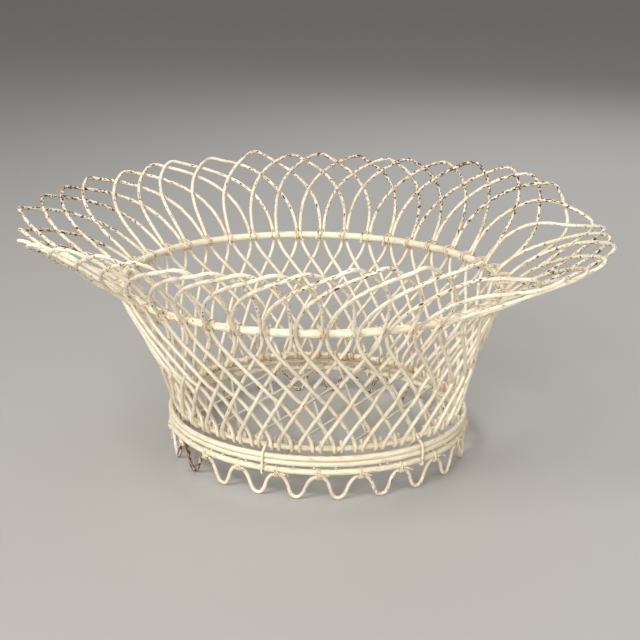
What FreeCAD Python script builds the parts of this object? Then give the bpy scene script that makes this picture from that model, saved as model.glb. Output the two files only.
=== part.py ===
"""Oval wirework produce basket with a flared, scalloped rim.

Forty-two hairpin wires make both the wall and the rim.  Each one starts in a hook
on the base, climbs the wall on a slant, passes outside the waist ring, swings round
a rim arch and comes back down the same way.  Rods, bindings and clips hold them.

Millimetres, +Z up.  X is the long way of the oval.  The origin is on the surface
that the basket stands on, under the middle of the whole basket; the parts are drawn
about the middle of the waist ring and moved there at the end.
"""
import FreeCAD, Part
import math
import os
import random

V = FreeCAD.Vector
UP = V(0, 0, 1)

# ---- stock: diameters of the wires and rods -------------------------------------
WIRE_D = 3.0            # hairpin wires
WAIST_ROD_D = 6.4       # the thick ring at the waist
BAND_ROD_D = 4.5        # the hook ring inside and the two band rods outside
FOOT_ROD_D = 5.0        # the ring that the floor and the foot hang on
FOOT_WIRE_D = 3.0       # the scalloped foot
FLOOR_WIRE_D = 2.2
BINDING_D = 0.9
CLIP_D = 2.1
GAP = 0.1               # clear space between wires that lie against each other
SLANT_GAP = 0.9         # the same where slanting legs pass the waist ring

# ---- plan: half length and half width of the ring centre lines -------------------
WAIST_A, WAIST_B = 160.0, 131.0
BAND_A, BAND_B = 129.0, 107.0
BASE_SHIFT = 5.0       # the base sits this far towards +X of the waist

# ---- heights of the centre lines above the table ---------------------------------
FOOT_LOW_Z = FOOT_WIRE_D / 2
FOOT_RING_Z = 24.5
LOWER_BAND_Z = FOOT_RING_Z + FOOT_ROD_D / 2 + FLOOR_WIRE_D + GAP + BAND_ROD_D / 2
UPPER_BAND_Z = LOWER_BAND_Z + BAND_ROD_D + GAP
HOOK_RING_Z = UPPER_BAND_Z + 5.4
WAIST_Z = 151.0

# ---- hairpins --------------------------------------------------------------------
ARCHES = 42
ARCH_HALF_SPAN = 2.0    # from the middle of an arch to each of its ties, in ties
WALL_SHIFT = 3.25       # how many ties a leg moves sideways on its way down the wall
KISS = 0.072            # a leg stands this far beside the middle of its tie, in ties
TIE_START = 0.286       # place of the first tie, in ties from the +X end
ARCH_REACH = 97.0       # from the waist to the tip of an arch, straight
REACH_VARIES = 2.5      # hand work: arches differ by this much either way
LAY = 1.78              # wires that cross lie this far either side of the middle surface
LAY_GROWS = 0.20        # share of a leg in which the lay grows from nothing at the waist
LAY_FADES = 0.07        # share of a leg in which it fades again at the hook
TIP_FADES = 0.045       # and at the arch tip
WALL_CURVE = 1.4        # 1 would be a straight cone, more bellies in near the top
LEAN = 50.0              # outward lean of the rim on the straightest side, degrees
DROOP = 11.0             # the right end droops by this much more, degrees
DROOP_FROM, DROOP_TO = (-52.0, -38.0), (21.0, 31.0)     # directions where it sets in and ends
# places pushed in or out by use: direction, spread and change of the lean, all in degrees
LEAN_DENTS = ((19.0, 8.0, 6.0), (46.0, 14.0, -6.0), (84.0, 14.0, 3.5), (114.0, 6.0, -4.0),
              (-172.0, 45.0, 5.0), (-125.0, 25.0, -7.0), (-68.0, 28.0, -8.0))
BEND = 18.0              # the lean grows by this much from the waist to the tips, degrees
BEND_DENTS = ((25.0, 35.0, 10.0), (-42.0, 28.0, -22.0), (-152.0, 35.0, -18.0))
SWEEP_MEAN, SWEEP_SWING, SWEEP_AT = 9.0, 9.5, 42.0     # sideways lean of arches, degrees
ASIDE_VARIES = 0.10      # hand work: tips stand aside by this much either way, in ties
# arches bent further aside (in ties), and arches that reach less far (in mm), by number
BENT_ASIDE = {1: 0.2, 4: -0.15, 5: -0.3, 7: 0.15, 8: 0.25, 11: 0.1, 14: 0.4, 15: 0.55,
              16: 0.15, 19: -0.2, 20: -0.35, 21: -0.35, 23: 0.3, 24: 0.3, 25: 0.4, 26: 0.45,
              27: 0.5, 28: 0.6, 29: 0.5, 30: 0.2, 31: -0.1, 32: -0.35, 33: -0.3, 34: -0.45,
              35: -0.4, 36: -0.2, 37: 0.2}
SHORTER = {0: 5.0, 1: 4.0, 2: 3.0, 22: 8.0, 23: 3.0}
# base hook, from the tip inside the ring to the leg outside, in radii of the hook
HOOK_CORNERS = ((-1, 0.8), (-1, -1), (1, -1), (1, 0.7))
WALL_STEPS = (0.10, 0.20, 0.36, 0.53, 0.64, 0.766, 0.87, 0.94)       # share of the wall
LAY_FLIPS_AT = 0.585    # share of the wall at which inner and outer wires change over
ARCH_STEPS = (0.12, 0.26, 0.40, 0.54, 0.67, 0.79, 0.89, 0.96)        # share of the reach

# ---- foot, floor, ties -----------------------------------------------------------
SCALLOPS = 22
SCALLOP_START = 0.21    # place of the first foot scallop, in scallops from the +X end
FLOOR_ANGLES = (67.5, -70.0)             # directions of the two sets of floor wires
FLOOR_OFFSETS = ((-103.5, -59.5, -23.0, 16.0, 54.0, 86.0),
                 (-95.5, -69.0, -33.0, 0.0, 36.0, 78.5, 96.0))
TIE_BULGE = 2.3         # waist ties stand off the crossed legs by this many wire widths
TIE_SLANT = 3.0         # height of a waist tie's slanting front above the middle of the ring
TIE_PARTING = 0.6       # half the gap between the two ends of a waist tie
NEAR_WAIST = 0.04       # share of a leg over which its lean at the waist is measured
FLOOR_END = 1.5         # floor wires end this far outside the middle of the foot ring
FLOOR_FLAT = 4.5        # and run level for this far inside it before they sag
CLIP_DIRECTIONS = (-99.4, -39.3, 76.8, 140.7)           # degrees round the base


def ellipse_point(a, b, angle, middle_x=0.0):
    return V(middle_x + a * math.cos(angle), b * math.sin(angle), 0)


def ellipse_out(a, b, angle):
    """Unit vector square to the ellipse, pointing away from it."""
    out = V(b * math.cos(angle), a * math.sin(angle), 0)
    return out.normalize()


def even_angles(a, b, count, start):
    """Angles that cut the ellipse into equal lengths; the first is start shares on."""
    fine = 2880
    lengths = [0.0]
    for i in range(fine):
        p = ellipse_point(a, b, 2 * math.pi * i / fine)
        q = ellipse_point(a, b, 2 * math.pi * (i + 1) / fine)
        lengths.append(lengths[-1] + (q - p).Length)

    def angle_at(place):
        turns, rest = divmod((place + start) / count, 1.0)
        wanted = rest * lengths[-1]
        low = 0
        high = fine
        while high - low > 1:
            mid = (low + high) // 2
            if lengths[mid] <= wanted:
                low = mid
            else:
                high = mid
        part = (wanted - lengths[low]) / (lengths[high] - lengths[low])
        return 2 * math.pi * (turns + (low + part) / fine)

    return angle_at


waist_angle = even_angles(WAIST_A, WAIST_B, ARCHES, TIE_START)


def path_through(points, closed=False):
    """Path of straight runs joined by tangent arcs, one arc at each point."""
    count = len(points)
    corners = range(count) if closed else range(1, count - 1)
    starts = {}
    edges_at = {}
    for i in corners:
        here = points[i]
        back = points[i - 1] - here
        ahead = points[(i + 1) % count] - here
        reach = 0.45 * min(back.Length, ahead.Length)
        back.normalize()
        ahead.normalize()
        enter = here + back * reach
        leave = here + ahead * reach
        half_turn = (math.pi - back.getAngle(ahead)) / 2
        if half_turn < 1e-4:
            starts[i] = (here, here)
            continue
        inward = (back + ahead).normalize()
        radius = reach / math.tan(half_turn)
        middle = here + inward * (radius / math.cos(half_turn) - radius)
        starts[i] = (enter, leave)
        edges_at[i] = Part.Arc(enter, middle, leave).toShape()
    edges = []
    for i in range(count if closed else count - 1):
        j = (i + 1) % count
        start = starts[i][1] if i in starts else points[i]
        end = starts[j][0] if j in starts else points[j]
        edges.append(Part.LineSegment(start, end).toShape())
        if j in edges_at:
            edges.append(edges_at[j])
    return Part.Wire(edges)


def tube(points, diameter, closed=False):
    """Round wire of one thickness along the path through the points."""
    path = path_through(points, closed)
    first = path.Edges[0]
    direction = first.tangentAt(first.FirstParameter)
    ring = Part.Wire(Part.makeCircle(diameter / 2, first.valueAt(first.FirstParameter), direction))
    solid = path.makePipeShell([ring], True, False)
    if not solid.isValid():
        raise ValueError("a swept wire is not valid")
    expected = math.pi * diameter ** 2 / 4 * path.Length
    if abs(solid.Volume / expected - 1) > 0.01:
        raise ValueError("a swept wire has the wrong volume")
    return solid


def rod_ring(a, b, z, diameter, middle_x=0.0):
    """A closed oval rod, as a chain of arcs and short runs."""
    count = 96
    points = []
    for i in range(count):
        point = ellipse_point(a, b, 2 * math.pi * i / count, middle_x)
        points.append(V(point.x, point.y, z))
    return tube(points, diameter, closed=True)


def export(parts):
    """Bring the middle of the whole basket over the origin and write every part."""
    whole = Part.makeCompound([solid for solids in parts.values() for solid in solids])
    box = whole.optimalBoundingBox()
    shift = V(-box.Center.x, -box.Center.y, -box.ZMin)
    print("whole basket, mm:", box.XLength, box.YLength, box.ZLength, "shift", shift)
    os.makedirs("parts", exist_ok=True)
    for name, solids in parts.items():
        shape = solids[0] if len(solids) == 1 else Part.makeCompound(solids)
        shape.translate(shift)
        shape.exportStep("parts/" + name + ".step")


# ---- the surface that the hairpins lie on -----------------------------------------
LEG_OUT = WAIST_ROD_D / 2 + WIRE_D / 2 + SLANT_GAP   # leg outside the waist ring
HOOK_R = BAND_ROD_D / 2 + WIRE_D / 2 + GAP       # leg round the hook ring
HOOK_TO_BAND = HOOK_R + WIRE_D / 2 + GAP + BAND_ROD_D / 2
HOOK_A = BAND_A - HOOK_TO_BAND
HOOK_B = BAND_B - HOOK_TO_BAND


def wall(angle, share):
    """Middle of the wall; share runs from 0 at the waist to 1 level with the hook ring."""
    top = ellipse_point(WAIST_A, WAIST_B, angle)
    top += ellipse_out(WAIST_A, WAIST_B, angle) * LEG_OUT
    low = ellipse_point(HOOK_A, HOOK_B, angle, BASE_SHIFT)
    low += ellipse_out(HOOK_A, HOOK_B, angle) * HOOK_R
    inwards = 1 - (1 - share) ** WALL_CURVE
    point = top * (1 - inwards) + low * inwards
    point.z = WAIST_Z + (HOOK_RING_Z - WAIST_Z) * share
    return point


def smoothstep(low, high, value):
    share = min(1.0, max(0.0, (value - low) / (high - low)))
    return share * share * (3 - 2 * share)


def turned(angle, direction=0.0):
    """How far an angle is past a direction, in degrees from -180 to 180."""
    return (math.degrees(angle) - direction + 180) % 360 - 180


def dented(angle, value, dents):
    """A value that differs near some directions."""
    for direction, spread, change in dents:
        value += change * math.exp(-(turned(angle, direction) / spread) ** 2)
    return value


def rim(angle, share):
    """Middle of the rim; share runs from 0 at the waist to 1 at a mean arch tip."""
    turn = turned(angle)
    droop = DROOP * smoothstep(*DROOP_FROM, turn) * (1 - smoothstep(*DROOP_TO, turn))
    bend = math.radians(dented(angle, BEND, BEND_DENTS))
    start = math.radians(dented(angle, LEAN + droop, LEAN_DENTS)) - bend / 2
    radius = ARCH_REACH / bend
    across = radius * (math.cos(start) - math.cos(start + bend * share))
    rise = radius * (math.sin(start + bend * share) - math.sin(start))
    sweep = math.radians(SWEEP_MEAN - SWEEP_SWING * math.cos(angle - math.radians(SWEEP_AT)))
    out = ellipse_out(WAIST_A, WAIST_B, angle)
    point = ellipse_point(WAIST_A, WAIST_B, angle) + out * (LEG_OUT + across)
    point += UP.cross(out) * (math.sin(sweep) * ARCH_REACH * share ** 1.5)
    point.z = WAIST_Z + rise
    return point


def skin(place, run, lay=0.0):
    """Point that lies lay outside the middle surface.

    place counts ties round the basket; run is -1 at the hook ring, 0 at the waist and
    1 at the arch tips.
    """
    def middle(there, height):
        angle = waist_angle(there)
        return rim(angle, height) if height > 0 else wall(angle, -height)

    small = 0.01
    point = middle(place, run)
    if lay == 0.0:
        return point
    around = middle(place + small, run) - middle(place - small, run)
    upwards = middle(place, run + small) - middle(place, run - small)
    return point + around.cross(upwards).normalize() * lay


def wall_shift(share):
    """Sideways move of a leg, as a share of the whole; it starts and ends upright."""
    start, end = 0.20, 0.89
    speed = 1 / ((1 + end - start) / 2)
    if share < start:
        return speed * share ** 2 / (2 * start)
    if share < end:
        return speed * (share - start / 2)
    return 1 - speed * (1 - share) ** 2 / (2 * (1 - end))


def arch_width(share):
    """Half width of an arch, as a share of the half span."""
    return (1 - share ** 2.2) ** (1 / 1.15)


def leg(arch, side, reach, aside):
    """Points of one leg from the inside of its base hook up to just under the tip."""
    tie = arch + side * (ARCH_HALF_SPAN - KISS)
    foot_angle = waist_angle(tie - side * WALL_SHIFT)
    hook_out = ellipse_out(HOOK_A, HOOK_B, foot_angle)
    hook_middle = ellipse_point(HOOK_A, HOOK_B, foot_angle, BASE_SHIFT)
    points = []
    for across, height in HOOK_CORNERS:
        point = hook_middle + hook_out * (across * HOOK_R)
        points.append(V(point.x, point.y, HOOK_RING_Z + height * HOOK_R))
    for share in reversed(WALL_STEPS):
        place = tie - side * WALL_SHIFT * wall_shift(share)
        outer = -side if share < LAY_FLIPS_AT else side
        lay = outer * LAY * min(1.0, share / LAY_GROWS, (1 - share) / LAY_FADES)
        points.append(skin(place, -share, lay))
    points.append(skin(tie, 0.0))
    for share in ARCH_STEPS:
        place = arch + (tie - arch) * arch_width(share) + aside * share ** 1.5
        lay = -side * LAY * min(1.0, share / LAY_GROWS, (1 - share) / TIP_FADES)
        points.append(skin(place, share * reach / ARCH_REACH, lay))
    return points


def hairpin_points(arch, reach, aside):
    """One wire: up one leg from its hook, round the arch tip and down the other leg."""
    left = leg(arch, 1, reach, aside)
    right = leg(arch, -1, reach, aside)
    return left + [skin(arch + aside, reach / ARCH_REACH)] + right[::-1]


def hairpins():
    handmade = random.Random(7)
    wires = {}
    for arch in range(ARCHES):
        reach = ARCH_REACH + handmade.uniform(-REACH_VARIES, REACH_VARIES) - SHORTER.get(arch, 0)
        aside = BENT_ASIDE.get(arch, 0) + handmade.uniform(-ASIDE_VARIES, ASIDE_VARIES)
        wires["hairpin_%02d" % (arch + 1)] = [tube(hairpin_points(arch, reach, aside), WIRE_D)]
    return wires


# ---- foot, floor and what ties it all together ------------------------------------
foot_angle_at = even_angles(BAND_A, BAND_B, SCALLOPS, SCALLOP_START)
FOOT_TOP_Z = FOOT_RING_Z - FOOT_ROD_D / 2 - FOOT_WIRE_D / 2 - GAP


def foot_wave():
    """One wire bent into scallops; each is a narrow peak and a round bottom."""
    points = []
    for scallop in range(SCALLOPS):
        for place, height in ((-0.14, 1.04), (0.14, 1.04), (0.27, 0.72), (0.36, 0.18),
                              (0.45, -0.05), (0.55, -0.05), (0.64, 0.18), (0.73, 0.72)):
            point = ellipse_point(BAND_A, BAND_B, foot_angle_at(scallop + place), BASE_SHIFT)
            point.z = FOOT_LOW_Z + (FOOT_TOP_Z - FOOT_LOW_Z) * min(1.0, max(0.0, height))
            points.append(point)
    return tube(points, FOOT_WIRE_D, closed=True)


def floor_chord(direction, offset):
    """Middle, direction and half length of a floor wire, from foot ring to foot ring."""
    along = V(math.cos(math.radians(direction)), math.sin(math.radians(direction)), 0)
    start = V(-along.y, along.x, 0) * offset
    flat = (along.x / BAND_A) ** 2 + (along.y / BAND_B) ** 2
    mixed = start.x * along.x / BAND_A ** 2 + start.y * along.y / BAND_B ** 2
    rest = (start.x / BAND_A) ** 2 + (start.y / BAND_B) ** 2 - 1
    half_length = math.sqrt(mixed ** 2 - flat * rest) / flat
    return start - along * (mixed / flat) + V(BASE_SHIFT, 0, 0), along, half_length


def floor_wires(direction, offsets, sag):
    """Straight wires that rest on the foot ring, clamped under the band at both ends."""
    rest_z = FOOT_RING_Z + FOOT_ROD_D / 2 + FLOOR_WIRE_D / 2 + GAP / 2
    wires = []
    for offset in offsets:
        middle, along, half_length = floor_chord(direction, offset)
        ends = []
        for inset, drop in ((-FLOOR_END, 0.0), (FLOOR_FLAT, 0.0), (2 * FLOOR_FLAT, sag)):
            ends.append((half_length - inset, rest_z - drop))
        points = [middle - along * reach + UP * z for reach, z in ends]
        points += [middle + along * reach + UP * z for reach, z in reversed(ends)]
        wires.append(tube(points, FLOOR_WIRE_D))
    return wires


def floor_rests():
    """Where floor wires cross the foot ring, with the direction of each wire."""
    rests = []
    for direction, offsets in zip(FLOOR_ANGLES, FLOOR_OFFSETS):
        for offset in offsets:
            middle, along, half_length = floor_chord(direction, offset)
            rests.append((middle + along * half_length, along))
            rests.append((middle - along * half_length, along))
    return rests


def beside_floor(middle, out):
    """How far a foot tie slides along the ring to pass beside the floor wires."""
    slide = 0.0
    for rest, along in floor_rests():
        across = UP.cross(out)
        away = (middle - rest).dot(across)
        slant = abs(along.dot(across)) / abs(along.dot(out))
        room = 1.8 * BINDING_D + FLOOR_WIRE_D / 2 * math.hypot(1, slant) + BINDING_D * slant + GAP
        if (middle - rest).Length < FOOT_ROD_D * 2 and abs(away) < room:
            slide = math.copysign(room, away) - away
    return slide


def on_base(direction, section):
    """Place points given as (outwards from the band, height) on one side of the base."""
    angle = math.radians(direction)
    out = ellipse_out(BAND_A, BAND_B, angle)
    middle = ellipse_point(BAND_A, BAND_B, angle, BASE_SHIFT)
    return [middle + out * across + UP * z for across, z in section]


def band_clips():
    """Four stout clips over the hook ring, down the band and under the foot ring."""
    half = CLIP_D / 2 + GAP
    face = BAND_ROD_D / 2 + half
    hook = HOOK_TO_BAND
    section = ((-hook - face, HOOK_RING_Z - 1.5),
               (-hook - face, HOOK_RING_Z + BAND_ROD_D / 2 + half),
               (-hook + face, HOOK_RING_Z + BAND_ROD_D / 2 + half),
               (face + 0.4, UPPER_BAND_Z + BAND_ROD_D / 2),
               (face + 0.5, FOOT_RING_Z),
               (face + 0.2, FOOT_RING_Z - FOOT_ROD_D / 2 - half),
               (-face - 0.3, FOOT_RING_Z - FOOT_ROD_D / 2 - half),
               (-face - 0.3, FOOT_RING_Z + 0.5))
    return [tube(on_base(direction, section), CLIP_D) for direction in CLIP_DIRECTIONS]


def foot_bindings():
    """Thin wire, twice round the foot ring and the peak of each scallop."""
    half = BINDING_D / 2 + GAP
    side = FOOT_ROD_D / 2 + half
    top = FOOT_RING_Z + FOOT_ROD_D / 2 + half
    low = FOOT_TOP_Z - FOOT_WIRE_D / 2 - half
    loops = []
    for scallop in range(SCALLOPS):
        angle = foot_angle_at(scallop)
        out = ellipse_out(BAND_A, BAND_B, angle)
        middle = ellipse_point(BAND_A, BAND_B, angle, BASE_SHIFT)
        slide = beside_floor(middle, out)
        for turn in (-0.55, 0.55):
            centre = middle + UP.cross(out) * (slide + turn * BINDING_D)
            corners = ((side, top), (side, low), (-side, low), (-side, top))
            points = [centre + out * across + UP * z for across, z in corners]
            loops.append(tube(points, BINDING_D, closed=True))
    return loops


def waist_bindings():
    """Thin wire, one slanting turn round the waist ring and the two legs at each tie.

    Each turn begins and ends inside the basket, behind the ring, where its ends meet.
    """
    front = LEG_OUT + TIE_BULGE * (WIRE_D / 2 + BINDING_D / 2 + GAP)
    back = WAIST_ROD_D / 2 + BINDING_D / 2 + 4 * GAP
    beside = WIRE_D + 1.5 * BINDING_D
    turns = []
    for tie in range(ARCHES):
        angle = waist_angle(tie)
        out = ellipse_out(WAIST_A, WAIST_B, angle)
        along = UP.cross(out)
        middle = ellipse_point(WAIST_A, WAIST_B, angle) + UP * WAIST_Z
        legs = skin(tie, NEAR_WAIST) - skin(tie, -NEAR_WAIST)
        points = []
        for half in (1, -1):
            lean = half * TIE_SLANT * legs.dot(out) / legs.z
            # from an end behind the ring, over the ring and down to the slanting front
            corners = [(-back, TIE_PARTING, 2 * GAP),
                       (-back, back + TIE_PARTING, beside / 2),
                       (LEG_OUT + lean, TIE_SLANT + TIE_PARTING, 1.2 * beside),
                       (front + lean, TIE_SLANT, beside)]
            for across, z, slide in corners[::half]:
                points.append(middle + out * across + (UP * z - along * slide) * half)
        turns.append(tube(points, BINDING_D))
    return turns


def main():
    parts = {
        "waist_ring": [rod_ring(WAIST_A, WAIST_B, WAIST_Z, WAIST_ROD_D)],
        "hook_ring": [rod_ring(HOOK_A, HOOK_B, HOOK_RING_Z, BAND_ROD_D, BASE_SHIFT)],
        "upper_band_rod": [rod_ring(BAND_A, BAND_B, UPPER_BAND_Z, BAND_ROD_D, BASE_SHIFT)],
        "lower_band_rod": [rod_ring(BAND_A, BAND_B, LOWER_BAND_Z, BAND_ROD_D, BASE_SHIFT)],
        "foot_ring": [rod_ring(BAND_A, BAND_B, FOOT_RING_Z, FOOT_ROD_D, BASE_SHIFT)],
        "foot_wave": [foot_wave()],
        "floor_wires_upper": floor_wires(FLOOR_ANGLES[0], FLOOR_OFFSETS[0], 0.0),
        "floor_wires_lower": floor_wires(FLOOR_ANGLES[1], FLOOR_OFFSETS[1], FLOOR_WIRE_D + GAP),
        "band_clips": band_clips(),
        "foot_bindings": foot_bindings(),
        "waist_bindings": waist_bindings(),
    }
    parts.update(hairpins())
    export(parts)


main()
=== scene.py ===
"""Looks of an old oval wirework basket, painted cream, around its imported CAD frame.

Every wire is made again as a hand-bent tube with lumpy paint, on the same lines as its CAD
solid, and stands for that solid.  Lengths below are in millimetres, in the basket's own
frame: X is the long way of the oval, Z is up, and the middle of the waist ring is at x = 0,
y = 0.  to_world() brings them into the CAD frame, in metres.
"""
import math
import random

import bpy
import numpy as np
from mathutils import Matrix, Vector


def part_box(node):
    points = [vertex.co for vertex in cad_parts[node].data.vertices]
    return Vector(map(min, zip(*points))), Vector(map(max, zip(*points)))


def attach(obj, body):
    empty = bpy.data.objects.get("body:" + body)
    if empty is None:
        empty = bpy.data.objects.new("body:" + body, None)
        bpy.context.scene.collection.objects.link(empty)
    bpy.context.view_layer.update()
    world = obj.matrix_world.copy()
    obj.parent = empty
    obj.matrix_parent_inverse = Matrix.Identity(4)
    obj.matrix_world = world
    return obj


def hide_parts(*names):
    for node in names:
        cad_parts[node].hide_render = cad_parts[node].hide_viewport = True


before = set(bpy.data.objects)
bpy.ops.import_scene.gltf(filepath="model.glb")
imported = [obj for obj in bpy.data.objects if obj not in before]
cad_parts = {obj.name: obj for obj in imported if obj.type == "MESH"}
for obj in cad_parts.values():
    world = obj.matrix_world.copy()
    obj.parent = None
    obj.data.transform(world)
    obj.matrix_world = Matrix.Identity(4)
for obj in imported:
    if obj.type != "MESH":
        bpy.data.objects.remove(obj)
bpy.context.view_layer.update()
MM = 0.001
UP = np.array([0.0, 0.0, 1.0])

# ---- stock: diameters of the wires and rods, as in the CAD -----------------------------
WIRE_D = 3.0            # hairpin wires
WAIST_ROD_D = 6.4       # the thick ring at the waist
BAND_ROD_D = 4.5        # the hook ring inside and the two band rods outside
FOOT_ROD_D = 5.0        # the ring that the floor and the foot hang on
FOOT_WIRE_D = 3.0       # the scalloped foot
FLOOR_WIRE_D = 2.2
BINDING_D = 0.9
CLIP_D = 2.1
GAP = 0.1               # clear space between wires that lie against each other
SLANT_GAP = 0.9         # the same where slanting legs pass the waist ring

# ---- plan and heights of the centre lines, as in the CAD -------------------------------
WAIST_A, WAIST_B = 160.0, 131.0         # half length and half width
BAND_A, BAND_B = 129.0, 107.0
BASE_SHIFT = 5.0        # the base sits this far towards +X of the waist
FOOT_LOW_Z = FOOT_WIRE_D / 2
FOOT_RING_Z = 24.5
FOOT_TOP_Z = FOOT_RING_Z - FOOT_ROD_D / 2 - FOOT_WIRE_D / 2 - GAP
LOWER_BAND_Z = FOOT_RING_Z + FOOT_ROD_D / 2 + FLOOR_WIRE_D + GAP + BAND_ROD_D / 2
UPPER_BAND_Z = LOWER_BAND_Z + BAND_ROD_D + GAP
HOOK_RING_Z = UPPER_BAND_Z + 5.4
WAIST_Z = 151.0
LEG_OUT = WAIST_ROD_D / 2 + WIRE_D / 2 + SLANT_GAP      # legs stand this far off the waist
HOOK_R = BAND_ROD_D / 2 + WIRE_D / 2 + GAP
HOOK_TO_BAND = HOOK_R + WIRE_D / 2 + GAP + BAND_ROD_D / 2
HOOK_A = BAND_A - HOOK_TO_BAND
HOOK_B = BAND_B - HOOK_TO_BAND

# ---- hairpins, as in the CAD -----------------------------------------------------------
ARCHES = 42
ARCH_HALF_SPAN = 2.0    # from the middle of an arch to each of its ties, in ties
WALL_SHIFT = 3.25       # how many ties a leg moves sideways on its way down the wall
KISS = 0.072            # a leg stands this far beside the middle of its tie, in ties
TIE_START = 0.286       # place of the first tie, in ties from the +X end
ARCH_REACH = 97.0       # from the waist to the tip of an arch, straight
REACH_VARIES = 2.5      # hand work: arches differ by this much either way
LAY = 1.78              # wires that cross lie this far either side of the middle surface
LAY_GROWS = 0.20        # share of a leg in which the lay grows from nothing at the waist
LAY_FADES = 0.07        # share of a leg in which it fades again at the hook
TIP_FADES = 0.045       # and at the arch tip
WALL_CURVE = 1.4        # 1 would be a straight cone, more bellies in near the top
LEAN = 50.0             # outward lean of the rim on the straightest side, degrees
DROOP = 11.0            # the +X end droops by this much more, degrees
DROOP_FROM, DROOP_TO = (-52.0, -38.0), (21.0, 31.0)     # directions where it sets in and ends
# places pushed in or out by use: direction, spread and change of the lean, all in degrees
LEAN_DENTS = ((19.0, 8.0, 6.0), (46.0, 14.0, -6.0), (84.0, 14.0, 3.5), (114.0, 6.0, -4.0),
              (-172.0, 45.0, 5.0), (-125.0, 25.0, -7.0), (-68.0, 28.0, -8.0))
BEND = 18.0             # the lean grows by this much from the waist to the tips, degrees
BEND_DENTS = ((25.0, 35.0, 10.0), (-42.0, 28.0, -22.0), (-152.0, 35.0, -18.0))
SWEEP_MEAN, SWEEP_SWING, SWEEP_AT = 9.0, 9.5, 42.0      # sideways lean of arches, degrees
ASIDE_VARIES = 0.10     # hand work: tips stand aside by this much either way, in ties
# arches bent further aside (in ties), and arches that reach less far (in mm), by number
BENT_ASIDE = {1: 0.2, 4: -0.15, 5: -0.3, 7: 0.15, 8: 0.25, 11: 0.1, 14: 0.4, 15: 0.55,
              16: 0.15, 19: -0.2, 20: -0.35, 21: -0.35, 23: 0.3, 24: 0.3, 25: 0.4, 26: 0.45,
              27: 0.5, 28: 0.6, 29: 0.5, 30: 0.2, 31: -0.1, 32: -0.35, 33: -0.3, 34: -0.45,
              35: -0.4, 36: -0.2, 37: 0.2}
SHORTER = {0: 5.0, 1: 4.0, 2: 3.0, 22: 8.0, 23: 3.0}

# ---- foot, floor and clips, as in the CAD ----------------------------------------------
SCALLOPS = 22
SCALLOP_START = 0.21    # place of the first foot scallop, in scallops from the +X end
FLOOR_ANGLES = (67.5, -70.0)            # directions of the two sets of floor wires
FLOOR_OFFSETS = ((-103.5, -59.5, -23.0, 16.0, 54.0, 86.0),
                 (-95.5, -69.0, -33.0, 0.0, 36.0, 78.5, 96.0))
FLOOR_END = 1.5         # floor wires end this far outside the middle of the foot ring
FLOOR_FLAT = 4.5        # and run level for this far inside it before they sag
CLIP_DIRECTIONS = (-99.4, -39.3, 76.8, 140.7)           # degrees round the base

# ---- how the wires bend ----------------------------------------------------------------
# the width of an arch at a share of its height is (1 - share ** power) ** (1 / root)
ARCH_POWER, ARCH_ROOT = 2.2, 1.15
TURN_START, TURN_END = 0.20, 0.89       # a leg's slant sets in and stops at these shares
LAY_FLIP_START, LAY_FLIP_END = 0.53, 0.64       # inner and outer legs change over between
# base hook, from the tip inside the ring to the leg outside, in radii of the hook
HOOK_CORNERS = ((-1, 1.35), (-1, 0.6), (-1, 0.0), (-0.72, -0.7), (0, -1.02), (0.72, -0.7),
                (1, 0.0), (1, 0.7))
# one scallop of the foot: place along it, and height as a share, held between 0 and 1
SCALLOP_CORNERS = ((-0.12, 1.04), (0.0, 1.04), (0.12, 1.04), (0.25, 0.72), (0.34, 0.20),
                   (0.43, -0.05), (0.57, -0.05), (0.66, 0.20), (0.75, 0.72))

# ---- hand work, wear and some painted shade, only in the looks -------------------------
PAINTED_D = 1.08        # binding wire with its paint
TWIST_PITCH = 3.4       # one turn of the twisted ends of a tie
LUMP_WAVES = 9          # the paint's thickness is the sum of this many waves,
LUMP_LENGTHS = (3.0, 24.0)              # each between these lengths along the wire
LUMP_TURNS = (0, 1, 1, 2, 3)            # and with one of these counts round it
SCALLOP_SKEW = (-0.055, 0.02)           # scallops hang aside by between these shares
WAIST_TIE_TURNS = (2, 3, 3)             # a tie has one of these counts of turns
FOOT_TIE_TURNS = (2.25, 3.25)
WAIST_TIE_CUTS, FOOT_TIE_CUTS = 46, 40  # points in one turn
TIE_LOOSE = (0.3, 1.0)                  # waist ties are looser than the ring by this much
TIE_SPREAD = (2.2, 3.2)                 # and their turns lie this far to either side
WAIST_TAIL, FOOT_TAIL = (3.0, 6.5), (6.5, 10.5)         # lengths of the twisted ends
BOW, KINK, DIP = 1.2, 0.5, 0.7          # floor wires are bent by up to this much,
BENT_FROM, BENT_TO = 10.0, 40.0         # more and more between these distances from the ring
RIM_WORN_FROM, RIM_WORN_TO = 2, 24      # heights above the waist where wear sets in
TIPS_WORN_FROM, TIPS_WORN_TO = 35, 65   # and where it gets worse towards the tips
STAINED_BY_TIES, STAINED_BY_HOOKS = 9, 40       # rust stains spread this far, in height
# where the paint is knocked and stained: (direction, spread, amount), in degrees
RIM_KNOCKS = ((65.0, 55.0, 1.0), (180.0, 45.0, 0.95), (2.0, 32.0, 0.9))
RIM_LEAST = 0.35
ROD_WEAR, FOOT_WEAR = 0.12, 0.3
# far (+Y) side of the base: more chips and rust colour, partly rust, partly painted shade
FAR_SHADE_AND_RUST = (90.0, 60.0, 0.4)
WAIST_WORN = ((-120.0, 30.0, 0.40), (15.0, 20.0, 0.35))
BASE_SHADE_AND_RUST = (FAR_SHADE_AND_RUST,)
FOOT_ROD_WEAR_AND_SHADE = (FAR_SHADE_AND_RUST, (-90.0, 60.0, 0.20))
FOOT_WIRE_WEAR_AND_SHADE = ((-137.0, 15.0, 0.65), (-52.0, 12.0, 0.25), FAR_SHADE_AND_RUST)
DIRT = (0.32, 0.235, 0.14)
RUST_STAIN = (0.43, 0.20, 0.075)
CHIP_EDGE = (0.36, 0.235, 0.15)
IRON_DARK, IRON_BROWN = (0.030, 0.018, 0.012), (0.125, 0.062, 0.034)

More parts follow.
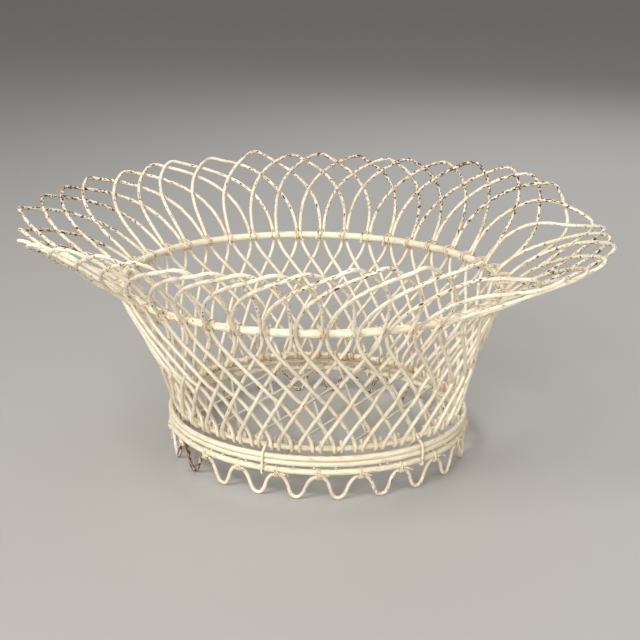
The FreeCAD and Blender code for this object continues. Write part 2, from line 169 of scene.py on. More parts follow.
ring_low, ring_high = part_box("waist_ring")
ORIGIN = np.array([(ring_low.x + ring_high.x) / 2, (ring_low.y + ring_high.y) / 2,
                   (ring_low.z + ring_high.z) / 2 - WAIST_Z * MM])


def to_world(points):
    return np.asarray(points) * MM + ORIGIN


# ---- lines of the basket ---------------------------------------------------------------
def ellipse(a, b, angle, middle_x=0.0):
    angle = np.asarray(angle, float)
    return np.stack([middle_x + a * np.cos(angle), b * np.sin(angle), 0 * angle], -1)


def unit(vectors):
    return vectors / np.linalg.norm(vectors, axis=-1, keepdims=True)


def outward(a, b, angle):
    """Unit vectors square to the ellipse, pointing away from it."""
    angle = np.asarray(angle, float)
    return unit(np.stack([b * np.cos(angle), a * np.sin(angle), 0 * angle], -1))


def around(out):
    """Unit vectors along the ring, turning anticlockwise."""
    return np.stack([-out[..., 1], out[..., 0], 0 * out[..., 2]], -1)


def station(a, b, angle, middle_x=0.0):
    """A point on the ellipse, and the unit vectors outwards and along the ring there."""
    out = outward(a, b, angle)
    return ellipse(a, b, angle, middle_x), out, around(out)


def even_angles(a, b, count, start):
    """Angles that cut the ellipse into equal lengths; the first is start shares on."""
    cuts = 2880
    fine = np.linspace(0, 2 * math.pi, cuts + 1)
    steps = np.linalg.norm(np.diff(ellipse(a, b, fine), axis=0), axis=1)
    lengths = np.concatenate([[0.0], np.cumsum(steps)]) / steps.sum()

    def angle_at(place):
        share = (np.asarray(place, float) + start) / count
        turns = np.floor(share)
        return 2 * math.pi * turns + np.interp(share - turns, lengths, fine)

    return angle_at


waist_angle = even_angles(WAIST_A, WAIST_B, ARCHES, TIE_START)
foot_angle = even_angles(BAND_A, BAND_B, SCALLOPS, SCALLOP_START)


def wall(angle, share):
    """Points on the middle surface of the wall; share is 0 at the waist, 1 at the hooks."""
    top = ellipse(WAIST_A, WAIST_B, angle) + outward(WAIST_A, WAIST_B, angle) * LEG_OUT
    low = ellipse(HOOK_A, HOOK_B, angle, BASE_SHIFT) + outward(HOOK_A, HOOK_B, angle) * HOOK_R
    inwards = (1 - (1 - share) ** WALL_CURVE)[:, None]
    points = top * (1 - inwards) + low * inwards
    points[:, 2] = WAIST_Z + (HOOK_RING_Z - WAIST_Z) * share
    return points


def smoothstep(low, high, value):
    share = np.clip((value - low) / (high - low), 0, 1)
    return share * share * (3 - 2 * share)


def dented(angle, value, dents):
    """A value that differs near some directions: (direction, spread, change), in degrees."""
    turn = np.degrees(angle)
    for at, spread, change in dents:
        away = (turn - at + 180) % 360 - 180
        value = value + change * np.exp(-(away / spread) ** 2)
    return value


def rim(angle, share):
    """Points on the middle surface of the rim; share is 0 at the waist, 1 at the tips."""
    turn = (np.degrees(angle) + 180) % 360 - 180
    droop = DROOP * smoothstep(*DROOP_FROM, turn) * (1 - smoothstep(*DROOP_TO, turn))
    bend = np.radians(dented(angle, BEND, BEND_DENTS))
    start = np.radians(dented(angle, LEAN + droop, LEAN_DENTS)) - bend / 2
    across = ARCH_REACH * (np.cos(start) - np.cos(start + bend * share)) / bend
    rise = ARCH_REACH * (np.sin(start + bend * share) - np.sin(start)) / bend
    sweep = np.radians(SWEEP_MEAN - SWEEP_SWING * np.cos(angle - math.radians(SWEEP_AT)))
    out = outward(WAIST_A, WAIST_B, angle)
    points = ellipse(WAIST_A, WAIST_B, angle) + out * (LEG_OUT + across)[:, None]
    points += around(out) * (np.sin(sweep) * ARCH_REACH * np.maximum(share, 0) ** 1.5)[:, None]
    points[:, 2] = WAIST_Z + rise
    return points


def skin(place, run, lay):
    """Points that lie lay outside the surface that all hairpins share.

    place counts ties round the basket; run is -1 at the hook ring, 0 at the waist and 1 at
    the arch tips.
    """
    def middle(there, height):
        angle = waist_angle(there)
        low = wall(angle, np.clip(-height, 0, 1))
        high = rim(angle, np.maximum(height, 0))
        return np.where((height > 0)[:, None], high, low)

    small = 0.01
    across = middle(place + small, run) - middle(place - small, run)
    upwards = middle(place, run + small) - middle(place, np.maximum(run - small, -1))
    return middle(place, run) + unit(np.cross(across, upwards)) * lay[:, None]


def wall_shift(share):
    """Share of the way along the ring that a leg has gone, share of the way down the wall."""
    speed = 2 / (1 + TURN_END - TURN_START)
    early = speed * share ** 2 / (2 * TURN_START)
    steady = speed * (share - TURN_START / 2)
    late = 1 - speed * (1 - share) ** 2 / (2 * (1 - TURN_END))
    return np.where(share < TURN_START, early, np.where(share < TURN_END, steady, late))


def evenly(points, step, closed=False):
    """The same line cut into even steps of about the given length."""
    points = np.asarray(points, float)
    if closed:
        points = np.vstack([points, points[:1]])
    lengths = np.concatenate([[0], np.cumsum(np.linalg.norm(np.diff(points, axis=0), axis=1))])
    count = max(4, int(round(lengths[-1] / step)))
    wanted = np.linspace(0, lengths[-1], count + 1)
    even = np.stack([np.interp(wanted, lengths, points[:, k]) for k in range(3)], -1)
    return even[:-1] if closed else even


def soften(points, times, closed=False):
    """Rounds the corners of an evenly cut line; its ends stay where they are."""
    points = points.copy()
    for _ in range(times):
        if closed:
            points = (np.roll(points, 1, 0) + 2 * points + np.roll(points, -1, 0)) / 4
        else:
            points[1:-1] = (points[:-2] + 2 * points[1:-1] + points[2:]) / 4
    return points


def with_domes(points, radius):
    """Adds points close to both ends, so that the ends can be rounded off."""
    lengths = np.concatenate([[0], np.cumsum(np.linalg.norm(np.diff(points, axis=0), axis=1))])
    near = radius * np.array([0.0, 0.08, 0.3, 0.62, 1.0])
    clear = 1.3 * radius
    keep = lengths[(lengths > clear) & (lengths < lengths[-1] - clear)]
    wanted = np.concatenate([near, keep, lengths[-1] - near[::-1]])
    return np.stack([np.interp(wanted, lengths, points[:, k]) for k in range(3)], -1)


# ---- tubes with lumpy paint ------------------------------------------------------------
class Mesher:
    """Collects tubes into one mesh, with the values that the paint shader reads.

    wire is a seamless coordinate: two numbers round the wire and one along it.
    wear and rust are shares from 0 to 1.
    """
    def __init__(self):
        self.verts = []
        self.faces = []
        self.wire = []
        self.wear = []
        self.rust = []
        self.count = 0

    def tube(self, points, diameter, rng, wear, rust, closed=False, sides=12, lumps=0.05,
             taper=0.0):
        """Adds a round wire along the points, closed into a ring or with rounded ends.

        lumps is the share of the radius by which the paint is uneven; taper is the share
        by which the wire gets thinner over its second half.
        """
        points = np.asarray(points, float)
        if not closed:
            marks = np.linspace(0, 1, len(points))
            points = with_domes(points, diameter / 2)
            shares = np.linspace(0, 1, len(points))
            wear = np.interp(shares, marks, np.broadcast_to(wear, marks.shape))
            rust = np.interp(shares, marks, np.broadcast_to(rust, marks.shape))
        count = len(points)
        if closed:
            tangents = unit(np.roll(points, -1, 0) - np.roll(points, 1, 0))
        else:
            tangents = unit(np.gradient(points, axis=0))
        normals = np.empty_like(points)
        seed = UP if abs(tangents[0][2]) < 0.9 else np.array([1.0, 0.0, 0.0])
        normal = np.cross(tangents[0], seed)
        for i in range(count):
            normal = normal - tangents[i] * np.dot(normal, tangents[i])
            normal = normal / np.linalg.norm(normal)
            normals[i] = normal
        side = np.cross(tangents, normals)
        twist = np.zeros(count)
        if closed:
            # turn the frames evenly so that the last one meets the first
            end = normals[-1] - tangents[0] * np.dot(normals[-1], tangents[0])
            gap = math.atan2(np.dot(end, side[0]), np.dot(end, normals[0]))
            twist = -gap * np.arange(count) / count
        steps = np.linalg.norm(np.diff(points, axis=0), axis=1)
        length = np.concatenate([[0], np.cumsum(steps)])
        angle = np.linspace(0, 2 * math.pi, sides, endpoint=False)[None, :] + twist[:, None]
        radius = np.full((count, sides), diameter / 2)
        total = length[-1] + (np.linalg.norm(points[0] - points[-1]) if closed else 0)
        for _ in range(LUMP_WAVES):
            wave = rng.uniform(*LUMP_LENGTHS)
            turns = max(1, round(total / wave))
            pace = 2 * math.pi * turns / total
            knots = rng.choice(LUMP_TURNS)
            phase = rng.uniform(0, 2 * math.pi)
            radius += (diameter / 2 * lumps / 3) * np.sin(pace * length[:, None]
                                                          + knots * angle + phase)
        shape = np.ones(count)
        if not closed:
            # rounded ends
            near = np.minimum(length, length[-1] - length)
            inside = np.clip(1 - near / (diameter / 2), 0, 1)
            shape = np.sqrt(np.maximum(1 - inside ** 2, 0.01))
            if taper:
                shape *= 1 - taper * np.clip((length / length[-1] - 0.5) * 2, 0, 1)
        radius *= shape[:, None]
        ring = (normals[:, None, :] * np.cos(angle)[:, :, None]
                + side[:, None, :] * np.sin(angle)[:, :, None])
        verts = points[:, None, :] + ring * radius[:, :, None]
        base = self.count
        self.verts.append(verts.reshape(-1, 3))
        offset = rng.uniform(0, 500)
        coordinate = np.stack([radius * np.cos(angle), radius * np.sin(angle),
                               np.broadcast_to(length[:, None], angle.shape) + offset], -1)
        self.wire.append(coordinate.reshape(-1, 3))
        for store, value in ((self.wear, wear), (self.rust, rust)):
            each = np.broadcast_to(np.asarray(value, float), count)
            store.append(np.repeat(each, sides))
        rows = count if closed else count - 1
        i = np.arange(rows)[:, None]
        j = np.arange(sides)[None, :]
        here = i * sides + j
        beside = i * sides + (j + 1) % sides
        ahead = ((i + 1) % count) * sides + j
        across = ((i + 1) % count) * sides + (j + 1) % sides
        quads = np.stack([here, beside, across, ahead], -1).reshape(-1, 4) + base
        self.faces.extend(quads.tolist())
        self.count += count * sides
        if not closed:
            self.faces.append([base + k for k in reversed(range(sides))])
            self.faces.append([base + (count - 1) * sides + k for k in range(sides)])

    def build(self, name, material, nodes):
        mesh = bpy.data.meshes.new(name)
        verts = to_world(np.concatenate(self.verts))
        mesh.from_pydata(verts.tolist(), [], self.faces)
        for label, values in (("wear", self.wear), ("rust", self.rust)):
            layer = mesh.attributes.new(label, "FLOAT", "POINT")
            layer.data.foreach_set("value", np.concatenate(values).astype(np.float32))
        layer = mesh.attributes.new("wire", "FLOAT_VECTOR", "POINT")
        layer.data.foreach_set("vector", np.concatenate(self.wire).astype(np.float32).ravel())
        mesh.shade_smooth()
        piece = bpy.data.objects.new(name, mesh)
        bpy.context.scene.collection.objects.link(piece)
        mesh.materials.append(material)
        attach(piece, "root")
        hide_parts(*nodes)
        return piece


# ---- paint -----------------------------------------------------------------------------
def paint(name, light, dark, chips, stain, dirt, gloss):
    """Old oil paint on iron wire: brush lumps, chips down to rust, stains and dirt.

    light and dark are the two ends of the paint colour; chips sets how readily it chips;
    stain and dirt are shares of rust bleeding and of grime; gloss is the roughness.
    """
    material = bpy.data.materials.new(name)
    material.use_nodes = True
    nodes = material.node_tree.nodes
    links = material.node_tree.links
    nodes.clear()

    def add(kind, **values):
        node = nodes.new(kind)
        for key, value in values.items():
            setattr(node, key, value)
        return node

    def plug(value, socket):
        if isinstance(value, (int, float)):
            socket.default_value = value
        elif isinstance(value, tuple):
            socket.default_value = (*value, 1.0)
        else:
            links.new(value, socket)

    def math_node(operation, a, b):
        node = add("ShaderNodeMath", operation=operation)
        plug(a, node.inputs[0])
        plug(b, node.inputs[1])
        return node.outputs[0]

    def mix(share, a, b):
        node = add("ShaderNodeMix", data_type="RGBA")
        plug(share, node.inputs[0])
        plug(a, node.inputs[6])
        plug(b, node.inputs[7])
        return node.outputs[2]

    def ramp(value, low, high):
        node = add("ShaderNodeMapRange", interpolation_type="SMOOTHSTEP")
        plug(value, node.inputs[0])
        node.inputs[1].default_value = low
        node.inputs[2].default_value = high
        return node.outputs[0]

    def attribute(label):
        return add("ShaderNodeAttribute", attribute_name=label)

    def noise(coordinates, stretch, detail, roughness=0.6):
        """Noise whose lumps are about 1 / stretch across; stretch is per axis.

        That is in metres for place, and in millimetres for the wire coordinate.
        """
        mapping = add("ShaderNodeMapping")
        links.new(coordinates, mapping.inputs[0])
        mapping.inputs[3].default_value = stretch
        node = add("ShaderNodeTexNoise")
        links.new(mapping.outputs[0], node.inputs["Vector"])
        node.inputs["Scale"].default_value = 1.0
        node.inputs["Detail"].default_value = detail
        node.inputs["Roughness"].default_value = roughness
        return node.outputs[0]

    wire = attribute("wire").outputs["Vector"]
    wear = attribute("wear").outputs["Fac"]
    rust = attribute("rust").outputs["Fac"]
    place = add("ShaderNodeTexCoord").outputs["Object"]

    broad = noise(place, (22.0, 22.0, 22.0), 2.0)
    streaks = noise(wire, (0.35, 0.35, 0.10), 3.0)
    flakes = noise(wire, (0.62, 0.62, 0.30), 4.0, 0.62)
    specks = noise(wire, (1.5, 1.5, 1.1), 2.0, 0.5)
    brush = noise(wire, (1.1, 1.1, 0.25), 3.0, 0.55)

    # paint colour
    colour = mix(ramp(broad, 0.35, 0.65), light, dark)
    dirty = math_node("MULTIPLY", ramp(streaks, 0.48, 0.72), dirt)
    colour = mix(dirty, colour, DIRT)
    bleeding = math_node("MULTIPLY", ramp(math_node("ADD", streaks, rust), 0.75, 1.35), stain)
    colour = mix(bleeding, colour, RUST_STAIN)

    # chips: flakes where the wire was knocked, and specks everywhere
    readiness = math_node("ADD", flakes, math_node("MULTIPLY", wear, 0.20))
    readiness = math_node("ADD", readiness, math_node("MULTIPLY", rust, 0.10))
    halo = ramp(readiness, 0.690 - chips, 0.730 - chips)
    flake = ramp(readiness, 0.715 - chips, 0.745 - chips)
    fleck = ramp(math_node("ADD", specks, math_node("MULTIPLY", wear, 0.07)), 0.715, 0.745)
    bare = math_node("MAXIMUM", flake, math_node("MULTIPLY", fleck, 0.9))
    colour = mix(math_node("MULTIPLY", halo, 0.65), colour, CHIP_EDGE)
    iron = mix(ramp(specks, 0.35, 0.62), IRON_DARK, IRON_BROWN)
    colour = mix(bare, colour, iron)

    shader = add("ShaderNodeBsdfPrincipled")
    links.new(colour, shader.inputs["Base Color"])
    rough = add("ShaderNodeMapRange")
    links.new(bare, rough.inputs[0])
    rough.inputs[3].default_value = gloss
    rough.inputs[4].default_value = 0.85
    links.new(rough.outputs[0], shader.inputs["Roughness"])
    relief = math_node("SUBTRACT", math_node("MULTIPLY", brush, 0.6), bare)
    bump = add("ShaderNodeBump")
    bump.inputs["Strength"].default_value = 0.55
    bump.inputs["Distance"].default_value = 0.12 * MM
    links.new(relief, bump.inputs["Height"])
    links.new(bump.outputs[0], shader.inputs["Normal"])
    output = add("ShaderNodeOutputMaterial")
    links.new(shader.outputs[0], output.inputs[0])
    return material


HAIRPIN_PAINT = paint("hairpin_paint", (0.86, 0.79, 0.635), (0.80, 0.70, 0.53),
                      chips=0.0, stain=0.9, dirt=0.40, gloss=0.42)
ROD_PAINT = paint("rod_paint", (0.85, 0.78, 0.60), (0.78, 0.70, 0.51),
                  chips=-0.04, stain=0.6, dirt=0.40, gloss=0.42)
FOOT_PAINT = paint("foot_paint", (0.85, 0.77, 0.61), (0.78, 0.67, 0.51),
                   chips=0.0, stain=0.9, dirt=0.5, gloss=0.5)
# floor wires: the same cream made darker and greyer, as painted shade inside the base
SHADED_FLOOR_PAINT = paint("shaded_floor_paint", (0.74, 0.69, 0.57), (0.64, 0.58, 0.46),
                    chips=-0.03, stain=0.4, dirt=0.4, gloss=0.6)
TIE_PAINT = paint("tie_paint", (0.86, 0.78, 0.60), (0.78, 0.67, 0.49),
                  chips=0.0, stain=0.8, dirt=0.4, gloss=0.5)


# ---- rods and rings --------------------------------------------------------------------
def rod(name, node, a, b, z, diameter, middle_x, seed, worn):
    """A closed oval rod; worn lists knocks, stains and painted shade, as for dented()."""
    rng = np.random.default_rng(seed)
    angle = np.linspace(0, 2 * math.pi, 360, endpoint=False)
    points = ellipse(a, b, angle, middle_x)
    points[:, 2] = z
    line = evenly(points, 1.8, closed=True)
    turn = np.arctan2(line[:, 1] / b, (line[:, 0] - middle_x) / a)
    wear = dented(turn, ROD_WEAR, worn)
    mesher = Mesher()
    mesher.tube(line, diameter, rng, wear, wear - ROD_WEAR, closed=True, sides=16,
                lumps=0.035)
    mesher.build(name, ROD_PAINT, [node])


rod("waist_rod", "waist_ring", WAIST_A, WAIST_B, WAIST_Z, WAIST_ROD_D, 0.0, 11,
    WAIST_WORN)
rod("hook_rod", "hook_ring", HOOK_A, HOOK_B, HOOK_RING_Z, BAND_ROD_D, BASE_SHIFT, 12,
    BASE_SHADE_AND_RUST)
rod("upper_rod", "upper_band_rod", BAND_A, BAND_B, UPPER_BAND_Z, BAND_ROD_D, BASE_SHIFT, 13,
    BASE_SHADE_AND_RUST)
rod("lower_rod", "lower_band_rod", BAND_A, BAND_B, LOWER_BAND_Z, BAND_ROD_D, BASE_SHIFT, 14,
    BASE_SHADE_AND_RUST)
rod("foot_rod", "foot_ring", BAND_A, BAND_B, FOOT_RING_Z, FOOT_ROD_D, BASE_SHIFT, 15,
    FOOT_ROD_WEAR_AND_SHADE)


# ---- hairpins --------------------------------------------------------------------------
def hairpin_leg(arch, side, reach, aside):
    """One leg from the inside of its base hook up to just under the arch tip."""
    tie = arch + side * (ARCH_HALF_SPAN - KISS)
    foot = waist_angle(np.array([tie - side * WALL_SHIFT]))
    hook_out = outward(HOOK_A, HOOK_B, foot)[0]
    hook_middle = ellipse(HOOK_A, HOOK_B, foot, BASE_SHIFT)[0]
    hook = []
    for across, height in HOOK_CORNERS:
        point = hook_middle + hook_out * (across * HOOK_R)
        point[2] = HOOK_RING_Z + height * HOOK_R
        hook.append(point)
    # the wall, from above the hook to the waist; inner and outer legs change over on the way
    share = np.linspace(0.95, 0.0, 60)
    place = tie - side * WALL_SHIFT * wall_shift(share)
    outer = -side * (1 - 2 * smoothstep(LAY_FLIP_START, LAY_FLIP_END, share))
    fade = np.minimum(1, np.minimum(share / LAY_GROWS, (1 - share) / LAY_FADES))
    climb = skin(place, -share, outer * LAY * fade)
    # the arch, from the waist to beside its tip
    share = np.linspace(0.02, 0.975, 50)
    width = (1 - share ** ARCH_POWER) ** (1 / ARCH_ROOT)
    place = arch + (tie - arch) * width + aside * share ** 1.5
    fade = np.minimum(1, np.minimum(share / LAY_GROWS, (1 - share) / TIP_FADES))
    arc = skin(place, share * reach / ARCH_REACH, -side * LAY * fade)
    return np.concatenate([np.array(hook), climb, arc])


def hairpin_line(arch, reach, aside):
    left = hairpin_leg(arch, 1, reach, aside)
    right = hairpin_leg(arch, -1, reach, aside)
    tip = skin(np.array([arch + aside]), np.array([reach / ARCH_REACH]), np.zeros(1))
    return soften(evenly(np.concatenate([left, tip, right[::-1]]), 1.6), 5)


def hand_bends():
    """How far each arch reaches, and how far its tip is bent aside, in ties."""
    hand = random.Random(7)
    bends = []
    for arch in range(ARCHES):
        reach = ARCH_REACH + hand.uniform(-REACH_VARIES, REACH_VARIES) - SHORTER.get(arch, 0.0)
        aside = BENT_ASIDE.get(arch, 0.0) + hand.uniform(-ASIDE_VARIES, ASIDE_VARIES)
        bends.append((reach, aside))
    return bends


def knocked(points):
    """How much the rim is knocked there: most at the back and the two ends."""
    turn = np.arctan2(points[:, 1] / WAIST_B, points[:, 0] / WAIST_A)
    knocks = [dented(turn, 0.0, [knock]) for knock in RIM_KNOCKS]
    return np.maximum(RIM_LEAST, np.max(knocks, axis=0))


def hairpin(arch, reach, aside):
    line = hairpin_line(arch, reach, aside)
    height = line[:, 2]
    rim_part = smoothstep(WAIST_Z + RIM_WORN_FROM, WAIST_Z + RIM_WORN_TO, height)
    tips = smoothstep(WAIST_Z + TIPS_WORN_FROM, WAIST_Z + TIPS_WORN_TO, height)
    low = 1 - smoothstep(HOOK_RING_Z, HOOK_RING_Z + STAINED_BY_HOOKS, height)
    under = np.exp(-((height - WAIST_Z) / STAINED_BY_TIES) ** 2)
    rng = np.random.default_rng(100 + arch)
    patchy = 0.5 + 0.5 * np.sin(np.arange(len(line)) * 0.045 + rng.uniform(0, 6))
    # worn a little all over, in patches, and most at the tips of the knocked rim
    wear = 0.08 + (0.46 * rim_part + 0.26 * tips) * knocked(line)
    wear += 0.30 * patchy * (0.3 + 0.7 * rim_part)
    # stained under the waist ties, on the knocked rim and low down near the hooks
    far = smoothstep(0.0, 60.0, line[:, 1])
    rust = 0.08 + 0.18 * under + 0.25 * rim_part * knocked(line)
    # low on the far side: more rust colour, partly rust, partly painted shade of the inside
    rust += low * (0.2 * patchy + 0.35 * far)
    mesher = Mesher()
    mesher.tube(line, WIRE_D, rng, wear, rust)
    label = "%02d" % (arch + 1)
    mesher.build("bent_wire_" + label, HAIRPIN_PAINT, ["hairpin_" + label])


for arch, (reach, aside) in enumerate(hand_bends()):
    hairpin(arch, reach, aside)


# ---- foot ------------------------------------------------------------------------------
def foot_wave():
    rng = np.random.default_rng(21)
    points = []
    for scallop in range(SCALLOPS):
        skew = rng.uniform(*SCALLOP_SKEW)
        for place, height in SCALLOP_CORNERS:
            place = place + skew * min(1.0, SCALLOP_CORNERS[0][1] - height)
            point = ellipse(BAND_A, BAND_B, foot_angle(scallop + place), BASE_SHIFT)
            point[2] = FOOT_LOW_Z + (FOOT_TOP_Z - FOOT_LOW_Z) * min(1.0, max(0.0, height))
            points.append(point)
    line = soften(evenly(points, 1.5, closed=True), 6, closed=True)
    # softening lifts the bottoms a little; stretch them down to the floor again
    depth = FOOT_TOP_Z - line[:, 2]
    line[:, 2] = FOOT_TOP_Z - depth * (FOOT_TOP_Z - FOOT_LOW_Z) / depth.max()
    mesher = Mesher()
    turn = np.arctan2(line[:, 1] / BAND_B, (line[:, 0] - BASE_SHIFT) / BAND_A)
    wear = dented(turn, FOOT_WEAR, FOOT_WIRE_WEAR_AND_SHADE)
    mesher.tube(line, FOOT_WIRE_D, rng, wear, wear - 0.2, closed=True)
    mesher.build("scalloped_foot", FOOT_PAINT, ["foot_wave"])


foot_wave()


# ---- ties of thin wire -----------------------------------------------------------------
def hoop(turn, low, high, square=2.5):
    """Points round a rounded box in the plane across a ring; turn is in radians.

    low and high are opposite corners; square is 2 for an ellipse and more for a box.
    """
    middle = (np.array(low) + np.array(high)) / 2
    half = (np.array(high) - np.array(low)) / 2
    across = np.sign(np.cos(turn)) * np.abs(np.cos(turn)) ** (2 / square)
    height = np.sign(np.sin(turn)) * np.abs(np.sin(turn)) ** (2 / square)
    return middle[0] + half[0] * across, middle[1] + half[1] * height


def pigtail(mesher, start, direction, aside, length, rng, taper=0.35):
    """The two ends of a tie, twisted round each other."""
    along = np.linspace(0, length, int(length / 0.45))
    direction = unit(direction)
    aside = unit(aside - direction * np.dot(aside, direction))
    over = np.cross(direction, aside)
    droop = rng.uniform(-0.05, 0.05) * along ** 2
    phase = rng.uniform(0, 2 * math.pi)
    for strand in (0, 1):
        angle = phase + strand * math.pi + along * 2 * math.pi / TWIST_PITCH
        radius = PAINTED_D * 0.5 * np.minimum(1, 0.4 + along / 2)
        line = (start + direction * along[:, None] + over * droop[:, None]
                + aside * (np.cos(angle) * radius)[:, None]
                + over * (np.sin(angle) * radius)[:, None])
        mesher.tube(line, PAINTED_D, rng, 0.4, 0.3, sides=8, lumps=0.08, taper=taper)


def waist_ties():
    mesher = Mesher()
    rng = np.random.default_rng(31)
    back = WAIST_ROD_D / 2 + BINDING_D / 2
    front = LEG_OUT + WIRE_D / 2 + BINDING_D * 1.3
    for tie in range(ARCHES):
        middle, out, along = station(WAIST_A, WAIST_B, float(waist_angle(tie)))
        middle = middle + UP * WAIST_Z
        low, high = skin(np.array([tie, tie]), np.array([-0.04, 0.04]), np.zeros(2))
        legs = high - low
        lean = np.dot(legs, out) / legs[2]
        turns = rng.choice(WAIST_TIE_TURNS)
        turn = np.linspace(-math.pi, (2 * turns - 1) * math.pi, WAIST_TIE_CUTS * turns)
        reach = back + rng.uniform(*TIE_LOOSE)
        across, height = hoop(turn, (-back, -reach), (front, reach))
        spread = rng.uniform(*TIE_SPREAD) * rng.choice((-1, 1))
        slide = spread * np.sin(turn / turns) + rng.uniform(-0.5, 0.5)
        # turns lie beside and over each other, and lean with the crossed legs
        across = across + np.cos(turn / turns) * BINDING_D * 0.5
        across = across + lean * height * np.clip(across / LEG_OUT, 0, 1.2)
        wobble = np.sin(turn * 0.7 + rng.uniform(0, 6)) * 0.25
        line = (middle + out * across[:, None] + UP * (height + wobble)[:, None]
                + along * slide[:, None])
        mesher.tube(soften(line, 2), PAINTED_D, rng, 0.35, 0.40, sides=8, lumps=0.12)
        # the twisted ends stand inside the ring
        upwards = rng.choice((-1, 1, 1))
        way = -out * rng.uniform(0.2, 1.0) + UP * upwards + along * rng.uniform(-0.8, 0.8)
        start = middle - out * (back + BINDING_D * 0.5) + along * slide[0]
        pigtail(mesher, start, way, along, rng.uniform(*WAIST_TAIL), rng)
    mesher.build("waist_ties", TIE_PAINT, ["waist_bindings"])


def foot_ties():
    mesher = Mesher()
    rng = np.random.default_rng(32)
    side = FOOT_ROD_D / 2 + BINDING_D / 2
    top = FOOT_RING_Z + FOOT_ROD_D / 2 + BINDING_D / 2
    low = FOOT_TOP_Z - FOOT_WIRE_D / 2 - BINDING_D / 2
    for scallop in range(SCALLOPS):
        angle = float(foot_angle(scallop))
        middle, out, along = station(BAND_A, BAND_B, angle, BASE_SHIFT)
        turns = rng.choice(FOOT_TIE_TURNS)
        turn = np.linspace(-0.6, 2 * turns - 0.6, int(FOOT_TIE_CUTS * turns)) * math.pi
        across, height = hoop(turn, (-side, low), (side, top), 3.0)
        slide = np.linspace(-0.62, 0.62, len(turn)) * turns
        slide = slide + np.sin(turn + rng.uniform(0, 6)) * 0.3
        line = middle + out * across[:, None] + UP * height[:, None] + along * slide[:, None]
        mesher.tube(soften(line, 2), PAINTED_D, rng, 0.3, 0.15, sides=8, lumps=0.12)
        # the twisted ends are pressed along the ring, and some hang down a little
        way = along + UP * rng.uniform(-0.35, 0.12) + out * rng.uniform(0.0, 0.10)
        start = middle + out * (side + BINDING_D * 0.55) + along * 1.2
        start = start + UP * (FOOT_RING_Z - rng.uniform(0.3, 1.6))
        pigtail(mesher, start, way, UP, rng.uniform(*FOOT_TAIL), rng, taper=0.6)
    mesher.build("foot_ties", TIE_PAINT, ["foot_bindings"])


waist_ties()
foot_ties()


# ---- clips and floor -------------------------------------------------------------------
def clips():
    mesher = Mesher()
    half = CLIP_D / 2 + GAP
    face = BAND_ROD_D / 2 + half
    hook_top = HOOK_RING_Z + BAND_ROD_D / 2 + half
    foot_low = FOOT_RING_Z - FOOT_ROD_D / 2 - half
    # outwards from the band, and height; the small extras are room for a thicker foot ring
    section = ((-HOOK_TO_BAND - face, HOOK_RING_Z - 1.5),
               (-HOOK_TO_BAND - face, hook_top),
               (-HOOK_TO_BAND + face, hook_top),
               (face + 0.4, UPPER_BAND_Z + BAND_ROD_D / 2),
               (face + 0.5, FOOT_RING_Z),
               (face + 0.2, foot_low),
               (-face - 0.3, foot_low),
               (-face - 0.3, FOOT_RING_Z + 0.5))
    rng = np.random.default_rng(41)
    for direction in CLIP_DIRECTIONS:
        middle, out, along = station(BAND_A, BAND_B, math.radians(direction), BASE_SHIFT)
        lean = rng.uniform(-0.06, 0.06)
        points = [middle + out * across + along * lean * (z - FOOT_RING_Z) + UP * z
                  for across, z in section]
        line = soften(evenly(points, 0.5), 8)
        mesher.tube(line, CLIP_D, rng, 0.25, 0.3, sides=12, lumps=0.07)
    mesher.build("bent_clips", HAIRPIN_PAINT, ["band_clips"])


def floor_wires(name, node, direction, offsets, sag, seed):
    """Straight wires from foot ring to foot ring, a little bent by use."""
    mesher = Mesher()
    rng = np.random.default_rng(seed)
    slant = math.radians(direction)
    along = np.array([math.cos(slant), math.sin(slant), 0.0])
    beside = around(along)
    rest_z = FOOT_RING_Z + FOOT_ROD_D / 2 + FLOOR_WIRE_D / 2 + GAP / 2
    for offset in offsets:
        # where the line meets the foot ring: flat * x^2 + 2 * mixed * x + rest = 0
        start = beside * offset
        flat = (along[0] / BAND_A) ** 2 + (along[1] / BAND_B) ** 2
        mixed = start[0] * along[0] / BAND_A ** 2 + start[1] * along[1] / BAND_B ** 2
        rest = (start[0] / BAND_A) ** 2 + (start[1] / BAND_B) ** 2 - 1
        half_length = math.sqrt(mixed ** 2 - flat * rest) / flat
        middle = start - along * mixed / flat + np.array([BASE_SHIFT, 0, rest_z])
        run = np.linspace(-1, 1, 120)
        reach = run * (half_length + FLOOR_END)
        edge = half_length - np.abs(reach)
        drop = sag * smoothstep(FLOOR_FLAT, 2 * FLOOR_FLAT, edge)
        inner = smoothstep(BENT_FROM, BENT_TO, edge)
        bow = inner * (rng.uniform(-BOW, BOW) * np.cos(run * math.pi / 2)
                       + rng.uniform(-KINK, KINK) * np.sin(run * math.pi * 1.5))
        dip = inner * rng.uniform(-DIP, 0.1) * np.cos(run * math.pi / 2)
        line = middle + along * reach[:, None] + beside * bow[:, None]
        line[:, 2] += dip - drop
        mesher.tube(line, FLOOR_WIRE_D, rng, 0.30, 0.10, sides=10, lumps=0.06)
    # painted shade: the floor wires take the darker floor paint
    mesher.build(name, SHADED_FLOOR_PAINT, [node])


clips()
floor_wires("floor_upper", "floor_wires_upper", FLOOR_ANGLES[0], FLOOR_OFFSETS[0], 0.0, 51)
floor_wires("floor_lower", "floor_wires_lower", FLOOR_ANGLES[1], FLOOR_OFFSETS[1],
            FLOOR_WIRE_D + GAP, 52)


# ---- camera, floor and light -----------------------------------------------------------
CAMERA_TARGET = np.array([8.8, 0.0, UPPER_BAND_Z + 77.4])
CAMERA_TURN, CAMERA_RISE, CAMERA_ROLL = math.radians(-11.97), math.radians(20.34), -0.008
CAMERA_AWAY = 962.4
LENS = 63.35
FLOOR_HALF = 20.0
FLOOR_COLOUR = (0.42, 0.407, 0.385, 1)
WORLD_GREY, WORLD_LIGHT = (0.80, 0.80, 0.80, 1), 0.34
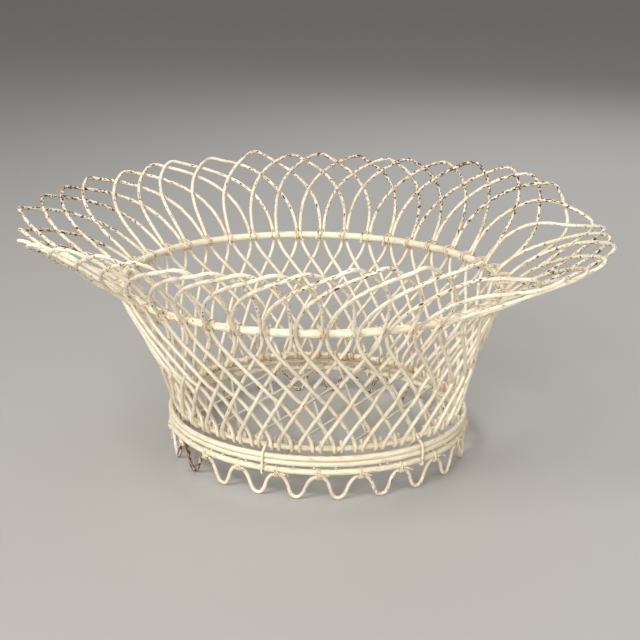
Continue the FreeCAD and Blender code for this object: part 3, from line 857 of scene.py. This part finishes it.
# name, place in metres, diameter in metres, watts, colour
LAMPS = (("key", (-0.5, -0.9, 1.5), 0.6, 18, (1.0, 0.98, 0.945)),
         ("fill", (1.3, -0.6, 0.9), 1.2, 7, (1.0, 0.98, 0.95)),
         ("front", (-0.4, -3.2, 1.0), 1.8, 70, (1.0, 0.985, 0.965)),
         ("back", (0.3, 1.3, 1.2), 1.2, 10, (0.97, 0.98, 1.0)))


def aim(obj, position, target, roll=0.0):
    obj.location = Vector(position)
    direction = Vector(target) - obj.location
    obj.rotation_mode = "QUATERNION"
    turn = direction.to_track_quat("-Z", "Y")
    obj.rotation_quaternion = turn @ Matrix.Rotation(roll, 3, "Z").to_quaternion()


def camera():
    data = bpy.data.cameras.new("camera")
    data.lens = LENS
    data.sensor_width = 36.0
    data.clip_start = 0.01
    obj = bpy.data.objects.new("camera", data)
    bpy.context.scene.collection.objects.link(obj)
    forward = np.array([math.sin(CAMERA_TURN) * math.cos(CAMERA_RISE),
                        math.cos(CAMERA_TURN) * math.cos(CAMERA_RISE), -math.sin(CAMERA_RISE)])
    position = to_world(CAMERA_TARGET - forward * CAMERA_AWAY)
    aim(obj, position, to_world(CAMERA_TARGET), CAMERA_ROLL)
    bpy.context.scene.camera = obj


def floor():
    corners = [(x * FLOOR_HALF, y * FLOOR_HALF, 0)
               for x, y in ((-1, -1), (1, -1), (1, 1), (-1, 1))]
    mesh = bpy.data.meshes.new("floor")
    mesh.from_pydata(corners, [], [(0, 1, 2, 3)])
    obj = bpy.data.objects.new("floor", mesh)
    bpy.context.scene.collection.objects.link(obj)
    material = bpy.data.materials.new("floor")
    material.use_nodes = True
    shader = material.node_tree.nodes["Principled BSDF"]
    shader.inputs["Base Color"].default_value = FLOOR_COLOUR
    shader.inputs["Roughness"].default_value = 0.9
    mesh.materials.append(material)


def lamp(name, position, size, power, colour):
    data = bpy.data.lights.new(name, "AREA")
    data.shape = "DISK"
    data.size = size
    data.energy = power
    data.color = colour
    obj = bpy.data.objects.new(name, data)
    bpy.context.scene.collection.objects.link(obj)
    aim(obj, position, (0, 0, 0.1))


camera()
floor()
for row in LAMPS:
    lamp(*row)
world = bpy.data.worlds.new("studio")
bpy.context.scene.world = world
world.use_nodes = True
world.node_tree.nodes["Background"].inputs[0].default_value = WORLD_GREY
world.node_tree.nodes["Background"].inputs[1].default_value = WORLD_LIGHT
bpy.context.scene.view_settings.view_transform = "Standard"
